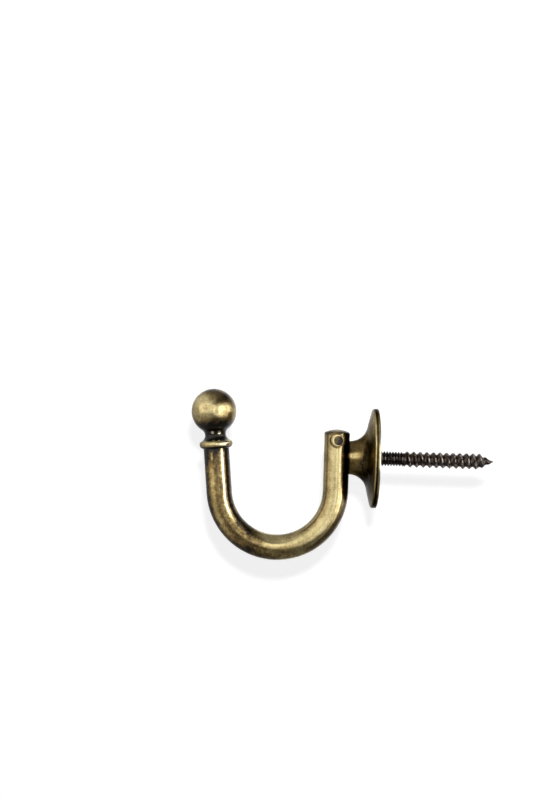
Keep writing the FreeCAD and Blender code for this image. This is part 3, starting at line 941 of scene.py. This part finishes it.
class HookWearAndPaintedLight:
    """How far the hook is rubbed bright, with painted light added: 1 is bare brass, 0 the dark patina in its
    hollows.
    """

    def __init__(self, hook, layout):
        self.hook = hook
        self.layout = layout

    def level(self, place):
        run = self.run(place)
        height = self.height(place)
        bar = self.bar(place, run, height)
        finial = FINIAL_FOOT.mask(height) * FINIAL_RUN.mask(run)
        level = bar + finial * (self.finial(place, height) - bar)
        return level + self.boss(place)

    def warmth(self, place):
        """Amber on the outside of the front arm and of the bend's front half."""
        outside = AMBER_ACROSS.mask(self.across(place))
        return outside * AMBER_RUN.mask(self.run(place)) * AMBER_HEIGHT.mask(self.height(place))

    def run(self, place):
        """Place along the U: -1 at the front arm's foot, 0 in the middle of the bend, 1 at the rear arm."""
        return place.along(X_AXIS, self.layout.bend_middle) / self.layout.bend

    def height(self, place):
        """Height along the front arm from the bead's middle, in the bead's roundings."""
        return place.along(self.layout.upward, self.layout.bead) / self.layout.bead_round

    def across(self, place):
        """Place across the bar in the plane of the U: -1 on the inside of the U, 1 on the outside."""
        layout = self.layout
        arms = []
        for out, up in ((layout.outward, layout.upward), (X_AXIS, Z_AXIS)):
            off = place.along(out, layout.bend_middle)
            below = place.along(up, layout.bend_middle).at_most(0.0)
            squared = off * off + below * below
            arms.append(squared.maths("SQRT", squared))
        front, rear = arms
        on_rear = place.along(X_AXIS, layout.bend_middle).step(-WELD, WELD)
        return (front + on_rear * (rear - front) - layout.bend) / layout.bar

    def bar(self, place, run, height):
        """The bar: the wheel missed the inside of the front arm and the side beside the rose, and painted
        shade darkens both.
        """
        across = self.across(place)
        bend = self.bend(across, run)
        level = bend + FRONT_RUN.mask(run) * (self.front_arm(across, run, height) - bend)
        level = level + REAR_RUN.mask(run) * (self.rear_arm(place, across) - bend)
        spread = MOTTLE_OUTSIDE.on(across)
        for zone in MOTTLE_BEND:
            spread = spread * zone.mask(run)
        spread = spread + MOTTLE_FRONT.mask(run)
        return level + (place.noise(**MOTTLE) - MOTTLE_MIDDLE) * spread * MOTTLE_WEAR

    def front_arm(self, across, run, height):
        # Painted shade below the bead.
        shade_below_bead = SHADE_BELOW_BEAD.mask(height)
        # The painted highlight streak beside the dark inside.
        painted_streak = PAINTED_STREAK_RUN.on(run)
        for side in PAINTED_STREAK_SIDES:
            painted_streak = painted_streak * side.mask(across)
        # The outer band: wear with a painted highlight, mostly lost in the painted shade below the bead.
        rubbed = RUBBED_AND_LIT_BAND.mask(across) * (RUBBED_AND_LIT_LEVEL + shade_below_bead * SHADE_BELOW_BEAD_LOSS)
        level = FRONT_LEVEL + painted_streak + rubbed
        # Patina and painted shade inside, a painted reflection at the inside's rim, painted shade at the
        # outside edge.
        for zone in FRONT_PATINA_AND_PAINTED_LIGHT_ZONES:
            level = level + zone.on(across)
        # Painted shade below the bead, and patina with painted shade at its foot.
        level = level + shade_below_bead * SHADE_BELOW_BEAD_ACROSS.on(across) + BEAD_FOOT_PATINA_AND_SHADE.on(height)
        # The painted glint below the bead.
        return level + GLINT_SPOT_ACROSS.mask(across) * GLINT_SPOT_HEIGHT.on(height)

    def bend(self, across, run):
        level = BEND_LEVEL + BEND_FRONT.on(run)
        # Wear, painted highlight and painted shade, patch by patch.
        for across_zone, run_zone in BEND_WEAR_AND_LIGHT_PATCHES:
            level = level + across_zone.mask(across) * run_zone.on(run)
        return level

    def rear_arm(self, place, across):
        layout = self.layout
        level = REAR_LEVEL
        # Wear with painted highlights across the face.
        for band in REAR_WEAR_AND_HIGHLIGHT_BANDS:
            level = level + band.on(across)
        above_bend = place.along(Z_AXIS, layout.bend_middle) / layout.bar
        # Patina and painted shade on the side by the rose.
        level = level + REAR_PATINA_AND_SHADE_SIDE.mask(across) * (REAR_PATINA_AND_SHADE_LEVEL + SHADE_BESIDE_ROSE.on(above_bend))
        # Painted shade on the arm's domed end.
        above_arm = place.along(Z_AXIS, Z_AXIS * self.hook.arm_rise) / layout.bar
        return level + ARM_END_SHADE.on(above_arm)

    def finial(self, place, height):
        """Ball, neck and bead: bright on the ball and the bead's crown, dark in the neck; with painted light.
        """
        hook, layout = self.hook, self.layout
        ball = hook.ball / 2
        waver = (place.noise(**BALL_CLOUD) - NOISE_MIDDLE) * BALL_WAVER
        rise = (height * layout.bead_round - hook.ball_height) / ball + waver
        outward = place.along(layout.outward, layout.ball) / ball
        # Patina and painted shade on the ball's underside.
        underside_patina_and_shade = BALL_UNDERSIDE_PATINA_AND_SHADE.on(rise + outward * BALL_SLANT)
        # Painted shade towards the top of the ball.
        shade = BALL_SHADE.on(place.along(BALL_SHADE_WAY, layout.ball) / ball)
        mottle = (place.noise(**BALL_MOTTLE) - NOISE_MIDDLE) * BALL_MOTTLE_WEAR
        level = NECK_LEVEL + BALL_FOOT.mask(rise) * (BALL_LEVEL + mottle + underside_patina_and_shade + shade)
        neck = layout.bead + layout.upward * (layout.neck_u + GLINT_RISE)
        for turn in GLINT_TURNS:
            glint = neck + Vector((math.sin(turn), -math.cos(turn), 0)) * (hook.neck / 2)
            level = level + GLINT.on(place.vector("DISTANCE", place, glint, output="Value") / ball)
        return level + self.bead(place, height)

    def bead(self, place, height):
        hook, layout = self.hook, self.layout
        off = place.off_axis(layout.bead, layout.upward)
        outward = place.along(layout.outward, layout.bead) / hook.bead
        # The crown: wear with a painted highlight on its upper part, and painted shade at its sides and
        # towards the room.
        crown = BEAD_HIGHLIGHT_HEIGHT.mask(height) * BEAD_CROWN.mask((off - layout.bead_ring) / layout.bead_round)
        crown = crown * (1.0 + BEAD_SHADED_SIDES.on(abs(outward)))
        return crown * (BEAD_LEVEL + BEAD_SHADED_ROOM_SIDE.on(outward))

    def boss(self, place):
        """The boss: its face, the groove round it and the dark disc, on the near side only, with painted
        light.
        """
        wide, middle = self.hook.boss, self.layout.boss
        off = place.off_axis(middle, Y_AXIS) / wide
        inward = place.along(X_AXIS, middle) / wide
        low = place.along(-Z_AXIS - X_AXIS, middle) / wide
        off_disc = place.off_axis(middle + X_AXIS * (BOSS_DISC_SHIFT * wide), Y_AXIS) / wide
        # A painted highlight crescent on the face, towards the room.
        face = BOSS_FACE.mask(off) * (BOSS_FACE_LEVEL + BOSS_PAINTED_CRESCENT.on(inward))
        # The groove: patina and painted shade, a painted shadow below and a painted highlight by the rose.
        groove = BOSS_GROOVE_LEVEL + BOSS_GROOVE_SHADOW.on(low) + BOSS_GROOVE_LIT.on(inward)
        level = face + BOSS_GROOVE.mask(off) * groove + BOSS_DISC.on(off_disc)
        return level * BOSS_NEAR_SIDE.mask(place.along(-Y_AXIS, ORIGIN) / self.layout.bar)


class HOLDBACK_OT_rose(bpy.types.Operator):
    """Model the rose: a trumpet-shaped backplate with a rounded rim and a hollow back"""

    bl_idname = "holdback.make_rose"
    bl_label = "Rose"

    def execute(self, context):
        rose = context.scene.holdback_rose
        piece = self.turn_trumpet(rose)
        weld(piece)
        finishes = context.scene.holdback_finishes
        # The rose's level holds its wear and its painted highlights.
        material = antique_brass(
            "rose antique brass",
            finishes,
            RoseWearAndPaintedLight(rose).level,
            finishes.rose_lacquer,
            finishes.rose_edge,
        )
        finish_piece(piece, "rose", material)
        return {"FINISHED"}

    def turn_trumpet(self, rose):
        """Neck, flare, flange, rim, back, hollow and bore as one closed section about the screw axis."""
        rim, neck, bore = rose.rim / 2, rose.neck / 2, rose.bore / 2
        flare_r = neck + rose.flare
        flange_u = math.sin(rose.rake)
        flange_r = math.cos(rose.rake)
        # The flange's line leaves the flare's arc where both have the same slope.
        edge_u = -rose.rim_thickness
        leave_r = flare_r - rose.flare * flange_u
        leave_u = edge_u - (rim - leave_r) * math.tan(rose.rake)
        flare_u = leave_u - rose.flare * flange_r
        section = Section("turned_rose", ORIGIN, X_AXIS, Z_AXIS, -rose.depth, neck)
        section.line(flare_u, neck)
        section.arc(flare_u, flare_r, direction(flange_u, flange_r), FLARE_STEPS)
        # The rounding of the rim's front edge touches the flange's line and the rim.
        front_r = rim - rose.front_edge
        front_u = edge_u - (rim - front_r) * math.tan(rose.rake) + rose.front_edge / flange_r
        section.line(front_u - rose.front_edge * flange_r, front_r + rose.front_edge * flange_u)
        section.arc(front_u, front_r, rose.rake - RIGHT_ANGLE, EDGE_STEPS)
        section.line(-rose.back_edge, rim)
        section.arc(-rose.back_edge, rim - rose.back_edge, -RIGHT_ANGLE, EDGE_STEPS)
        section.line(0, rose.dish / 2)
        section.line(-rose.dish_depth, rose.dish_floor / 2)
        section.line(-rose.dish_depth, bore)
        section.line(-rose.depth, bore)
        section.line(-rose.depth, neck)
        return section.turn()


# Wear and painted light of the rose: neck and joint in shares of its depth from the wall, flange and shoulder
# in shares of its radius, rim edges and face in front roundings inside the rim, and rim back in shares of its
# thickness.
ROSE_LEVEL = 0.06
ROSE_NECK = Zone(0.40, 0.84)
ROSE_NECK_LEVEL = 0.24
# Painted highlight: a bright line on the neck, a little above its middle: height over distance from the axis.
ROSE_NECK_HIGHLIGHT = Band(0.02, 0.34, 0.2, 0.55)
ROSE_JOINT = Zone(0.93, 0.99, -0.5)
ROSE_FLANGE = Zone(0.70, 0.92, 0.22)
# Painted highlight on the upper half of the shoulder.
ROSE_LIT_SHOULDER = Zone(0.40, 0.60, 0.30)
ROSE_UPPER_HALF = Zone(0.0, 0.5)
RIM_EDGES = Zone(1.5, 0.5)
RIM_EDGES_LEVEL = 0.40
# The edges are rubbed bright and carry a painted highlight, which loses its brightness towards the top and
# the foot of the rose.
RIM_HIGHLIGHT_MIDDLE = Zone(1.0, 0.4)
RIM_FACE = Zone(0.09, 0.03)
RIM_FACE_LEVEL = -0.70
RIM_BACK = Zone(0.55, 0.25)
RIM_BACK_EDGE = 0.65
RIM_BACK_FACE = 0.40


class RoseWearAndPaintedLight:
    """How far the rose is rubbed bright: its neck and the two edges of its rim, not its hollows; with painted
    highlights.
    """

    def __init__(self, rose):
        self.rose = rose

    def level(self, place):
        rose = self.rose
        radius = rose.rim / 2
        ahead = place.along(-X_AXIS, ORIGIN)
        upright = place.along(Z_AXIS, ORIGIN)
        off = place.off_axis(ORIGIN, X_AXIS)
        along = ahead / rose.depth
        out = off / radius
        inside_rim = (radius - off) / rose.front_edge
        back = RIM_BACK.mask(ahead / rose.rim_thickness)
        # The rubbed neck, with its painted highlight line.
        neck = ROSE_NECK.mask(along) * (ROSE_NECK_LEVEL + ROSE_NECK_HIGHLIGHT.on(upright / off))
        level = ROSE_LEVEL + neck + ROSE_JOINT.on(along) + ROSE_FLANGE.on(out)
        # Painted highlight on the shoulder's upper half.
        level = level + ROSE_LIT_SHOULDER.on(out) * ROSE_UPPER_HALF.mask(upright / radius)
        # Rubbed rim edges with a painted highlight, brightest at middle height and on the back edge.
        edges = RIM_EDGES.mask(inside_rim) * RIM_HIGHLIGHT_MIDDLE.mask(abs(upright / radius))
        level = level + edges * (RIM_EDGES_LEVEL + back * RIM_BACK_EDGE)
        return level + RIM_FACE.mask(inside_rim) * (RIM_FACE_LEVEL + back * RIM_BACK_FACE)


class HOLDBACK_OT_hanger_screw(bpy.types.Operator):
    """Model the hanger screw: fine machine thread, coarse wood thread and gimlet point"""

    bl_idname = "holdback.make_hanger_screw"
    bl_label = "Hanger screw"

    def execute(self, context):
        screw = context.scene.holdback_screw
        fine = self.cut_fine(screw)
        coarse = self.cut_coarse(screw)
        piece = join(fine, coarse)
        weld(piece)
        self.bridge(piece)
        weld(piece)
        finishes = context.scene.holdback_finishes
        material = bronzed_steel("hanger screw bronzed steel", finishes, screw)
        finish_piece(piece, "hanger_screw", material)
        return {"FINISHED"}

    def wind(self, section, pitch, turns, steps):
        """Winds one tooth's section into a thread about the screw axis."""
        section.check()
        bpy.ops.object.mode_set(mode="OBJECT")
        piece = section.piece
        modifier = piece.modifiers.new("thread", "SCREW")
        modifier.axis = "X"
        modifier.angle = FULL_TURN
        modifier.screw_offset = pitch
        modifier.iterations = turns
        modifier.steps = modifier.render_steps = steps
        modifier.use_merge_vertices = True
        modifier.merge_threshold = WELD
        select_only(piece)
        bpy.ops.object.modifier_apply(modifier=modifier.name)
        weld(piece)
        return piece

    def trim(self, piece, x, keep, fill):
        """Cuts a thread square at x, keeping the side that keep points to."""
        select_only(piece)
        bpy.ops.object.mode_set(mode="EDIT")
        bpy.ops.mesh.select_all(action="SELECT")
        bpy.ops.mesh.bisect(
            plane_co=(x, 0, 0),
            plane_no=(-keep, 0, 0),
            use_fill=fill,
            clear_outer=True,
            threshold=WELD,
        )
        bpy.ops.object.mode_set(mode="OBJECT")

    def cut_fine(self, screw):
        """V thread with narrow flats on its crests and in its roots."""
        crest, core, pitch = screw.fine / 2, screw.fine_core / 2, screw.fine_pitch
        flat = FINE_FLAT * pitch
        middle = (pitch + flat) / 2
        origin = Vector((-screw.start - pitch, 0, 0))
        section = Section("threaded_screw", origin, X_AXIS, Z_AXIS, 0, core)
        section.line(flat, core)
        section.line(middle - flat / 2, crest)
        section.line(middle + flat / 2, crest)
        section.line(pitch, core)
        turns = math.ceil((screw.start + screw.change) / pitch) + FINE_SPARE
        piece = self.wind(section, pitch, turns, FINE_STEPS)
        self.trim(piece, -screw.start, 1, True)
        self.trim(piece, screw.change, -1, False)
        return piece

    def cut_coarse(self, screw):
        """Broad V thread on a round core, drawn out to a gimlet point."""
        crest, core, pitch = screw.coarse / 2, screw.coarse_core / 2, screw.coarse_pitch
        foot, flat, fillet = COARSE_FOOT * pitch, COARSE_FLAT * pitch, COARSE_FILLET * pitch
        origin = Vector((screw.shoulder, 0, 0))
        first = screw.first_crest - screw.shoulder - COARSE_LEAD * pitch
        section = Section("wood_thread", origin, X_AXIS, Z_AXIS, first - pitch / 2, core)
        section.line(first - foot / 2 - fillet, core)
        section.line(first - foot / 2 + fillet / 2, core + fillet * FILLET_HEIGHT)
        section.line(first - flat / 2, crest)
        section.line(first + flat / 2, crest)
        section.line(first + foot / 2 - fillet / 2, core + fillet * FILLET_HEIGHT)
        section.line(first + foot / 2 + fillet, core)
        section.line(first + pitch / 2, core)
        turns = math.ceil((screw.tip - screw.first_crest) / pitch) + COARSE_SPARE
        piece = self.wind(section, pitch, turns, COARSE_STEPS)
        self.trim(piece, screw.change + screw.run_in, 1, False)
        self.trim(piece, screw.tip, -1, False)
        taper = piece.modifiers.new("point", "SIMPLE_DEFORM")
        taper.deform_method = "TAPER"
        taper.deform_axis = "X"
        taper.factor = POINT_TAPER
        straight = screw.shoulder - screw.change - screw.run_in
        taper.limits = (straight / (screw.tip - screw.change - screw.run_in), 1)
        select_only(piece)
        bpy.ops.object.modifier_apply(modifier=taper.name)
        bpy.ops.object.mode_set(mode="EDIT")
        tip = screw.tip - WELD
        select_edges(piece, lambda point: point.x > tip)
        bpy.ops.mesh.merge(type="CENTER")
        bpy.ops.object.mode_set(mode="OBJECT")
        return piece

    def bridge(self, piece):
        """Joins the cut ends of the two threads."""
        select_only(piece)
        bpy.ops.object.mode_set(mode="EDIT")
        bpy.ops.mesh.select_mode(type="EDGE")
        bpy.ops.mesh.select_all(action="DESELECT")
        bpy.ops.mesh.select_non_manifold(
            extend=False, use_wire=False, use_boundary=True, use_multi_face=False, use_verts=False
        )
        bpy.ops.mesh.bridge_edge_loops()
        bpy.ops.object.mode_set(mode="OBJECT")


class Lamp(NamedTuple):
    """A soft rectangular lamp: degrees right of the camera's side and upwards, metres, and radiance."""

    name: str
    turn: float
    rise: float
    distance: float
    width: float
    height: float
    brightness: float


LAMPS = (
    Lamp("upper left softbox", turn=-36, rise=15, distance=0.55, width=1.04, height=0.48, brightness=0.74),
    Lamp("right softbox", turn=55, rise=8, distance=0.55, width=1.60, height=0.78, brightness=0.88),
    Lamp("right window", turn=59, rise=6, distance=0.50, width=0.68, height=0.46, brightness=1.38),
)
LAMP_AIM = Vector((-20, 0, -5)) * MM
SHADOW_LAMP_PLACE = Vector((-29.8, -349, 23.1)) * MM
SHADOW_LAMP_RADIUS = 1.8 * MM
SHADOW_LAMP_WATTS = 21.5
FLOOR_PLACE = Vector((-31, 1000, 15)) * MM
FLOOR_WIDTH = 900 * MM
FLOOR_GLOW = 0.45
CAMERA_PLACE = Vector((-31.1, -349, 15.3)) * MM
CAMERA_ROLL = math.radians(-1.75)
CAMERA_LENS = 56.57
CAMERA_SENSOR = 36
CAMERA_CLIP = (0.01, 10)
# Light of the dim room, and the ways in which it is lighter: above, left, below, behind, and behind right.
ROOM_LEVEL = 0.05
ROOM_WAYS = (
    ((-0.6, 0.0, 0.8), Zone(0.1, 0.95, 0.38)),
    ((-0.93, -0.35, 0.10), Zone(0.0, 0.9, 0.38)),
    ((0.0, 0.0, -1.0), Zone(0.0, 0.8, 0.14)),
    ((0.0, 1.0, 0.0), Zone(0.5, 0.95, 0.32)),
    ((0.5, 0.86, 0.0), Zone(0.52, 0.92, 0.55)),
)


class HOLDBACK_OT_stage(bpy.types.Operator):
    """Set the plain pale floor, the soft lights and the camera"""

    bl_idname = "holdback.set_stage"
    bl_label = "Stage"

    def execute(self, context):
        self.lay_floor(context.scene.holdback_finishes)
        self.set_world(context.scene)
        for lamp in LAMPS:
            self.hang_lamp(context.scene, lamp)
        self.hang_shadow_lamp(context.scene)
        self.aim_camera(context.scene)
        context.scene.view_settings.view_transform = "Standard"
        return {"FINISHED"}

    def lay_floor(self, finishes):
        """A pale sheet behind: white to the eye and in the metal, and it takes the shadow."""
        bpy.ops.object.select_all(action="DESELECT")
        bpy.ops.mesh.primitive_plane_add(
            size=FLOOR_WIDTH, location=FLOOR_PLACE, rotation=(RIGHT_ANGLE, 0, 0)
        )
        floor = bpy.context.object
        floor.name = floor.data.name = "floor"
        bpy.ops.object.transform_apply(location=True, rotation=True, scale=True)
        material, start = new_material("floor paper")
        seen = start.node("ShaderNodeLightPath", None, None, "Is Camera Ray")
        for ray in ("Is Glossy Ray", "Is Transmission Ray"):
            seen = seen.at_least(start.node("ShaderNodeLightPath", None, None, ray))
        paper = start.node("ShaderNodeBsdfDiffuse", None, {"Color": solid(finishes.paper)})
        white = start.node("ShaderNodeEmission", None, {"Color": WHITE, "Strength": FLOOR_GLOW})
        both = start.node("ShaderNodeAddShader", None, {"Shader": white, "Shader_001": paper})
        surface = start.node("ShaderNodeMixShader", None, {"Fac": seen, "Shader": paper, "Shader_001": both})
        close_material(start, surface)
        floor.data.materials.append(material)

    def set_world(self, scene):
        """White where the eye meets it, and a dim room in front for what the metal reflects."""
        world = bpy.data.worlds.new("studio")
        scene.world = world
        world.use_nodes = True
        world.node_tree.nodes.clear()
        start = Signal(world.node_tree)
        way = start.node("ShaderNodeTexCoord", None, None, "Generated")
        eye = start.node("ShaderNodeLightPath", None, None, "Is Camera Ray")
        room = ROOM_LEVEL
        for lighter, zone in ROOM_WAYS:
            room = room + zone.on(way.dot(lighter))
        light = start.node("ShaderNodeBackground", None, {"Color": WHITE, "Strength": eye.at_least(room)})
        start.node("ShaderNodeOutputWorld", None, {"Surface": light})

    def hang_lamp(self, scene, lamp):
        """Hangs a soft lamp that faces the holdback."""
        light = bpy.data.lights.new(lamp.name, "AREA")
        light.shape = "RECTANGLE"
        light.size, light.size_y = lamp.width, lamp.height
        light.energy = lamp.brightness * math.pi * lamp.width * lamp.height
        turn, rise = math.radians(lamp.turn), math.radians(lamp.rise)
        way = Vector((math.sin(turn) * math.cos(rise), -math.cos(turn) * math.cos(rise), math.sin(rise)))
        holder = bpy.data.objects.new(lamp.name, light)
        holder.location = LAMP_AIM + way * lamp.distance
        holder.rotation_euler = (-way).to_track_quat("-Z", "Y").to_euler()
        holder.visible_camera = False
        scene.collection.objects.link(holder)

    def hang_shadow_lamp(self, scene):
        """A small lamp just above the camera, which only throws the soft shadow on the floor."""
        light = bpy.data.lights.new("shadow lamp", "POINT")
        light.energy = SHADOW_LAMP_WATTS
        light.shadow_soft_size = SHADOW_LAMP_RADIUS
        holder = bpy.data.objects.new("shadow lamp", light)
        holder.location = SHADOW_LAMP_PLACE
        holder.visible_glossy = False
        scene.collection.objects.link(holder)

    def aim_camera(self, scene):
        """Looks square at the plane of the U from its near side, with a slight roll."""
        lens = bpy.data.cameras.new("camera")
        lens.sensor_width = CAMERA_SENSOR
        lens.lens = CAMERA_LENS
        lens.clip_start, lens.clip_end = CAMERA_CLIP
        camera = bpy.data.objects.new("camera", lens)
        camera.location = CAMERA_PLACE
        camera.rotation_euler = (RIGHT_ANGLE, CAMERA_ROLL, 0)
        scene.collection.objects.link(camera)
        scene.camera = camera


class HOLDBACK_PT_panel(bpy.types.Panel):
    """The holdback's pieces and sizes"""

    bl_idname = "HOLDBACK_PT_panel"
    bl_label = "Curtain holdback"
    bl_space_type = "VIEW_3D"
    bl_region_type = "UI"
    bl_category = "Holdback"

    def draw(self, context):
        for operator in OPERATORS:
            self.layout.operator(operator.bl_idname)
        for name in GROUPS:
            group = getattr(context.scene, name)
            box = self.layout.box()
            box.label(text=type(group).__doc__)
            for field in type(group).__annotations__:
                box.prop(group, field)


GROUPS = {
    "holdback_hook": HookSizes,
    "holdback_rose": RoseSizes,
    "holdback_screw": ScrewSizes,
    "holdback_finishes": Finishes,
}
OPERATORS = (
    HOLDBACK_OT_hook,
    HOLDBACK_OT_rose,
    HOLDBACK_OT_hanger_screw,
    HOLDBACK_OT_stage,
)
CLASSES = (*GROUPS.values(), *OPERATORS, HOLDBACK_PT_panel)


def register():
    for item in CLASSES:
        bpy.utils.register_class(item)
    for name, group in GROUPS.items():
        setattr(bpy.types.Scene, name, bpy.props.PointerProperty(type=group))


def unregister():
    for name in GROUPS:
        delattr(bpy.types.Scene, name)
    for item in reversed(CLASSES):
        bpy.utils.unregister_class(item)


def main():
    register()
    bpy.ops.holdback.make_hook()
    bpy.ops.holdback.make_rose()
    bpy.ops.holdback.make_hanger_screw()
    bpy.ops.holdback.set_stage()


if __name__ == "__main__":
    main()
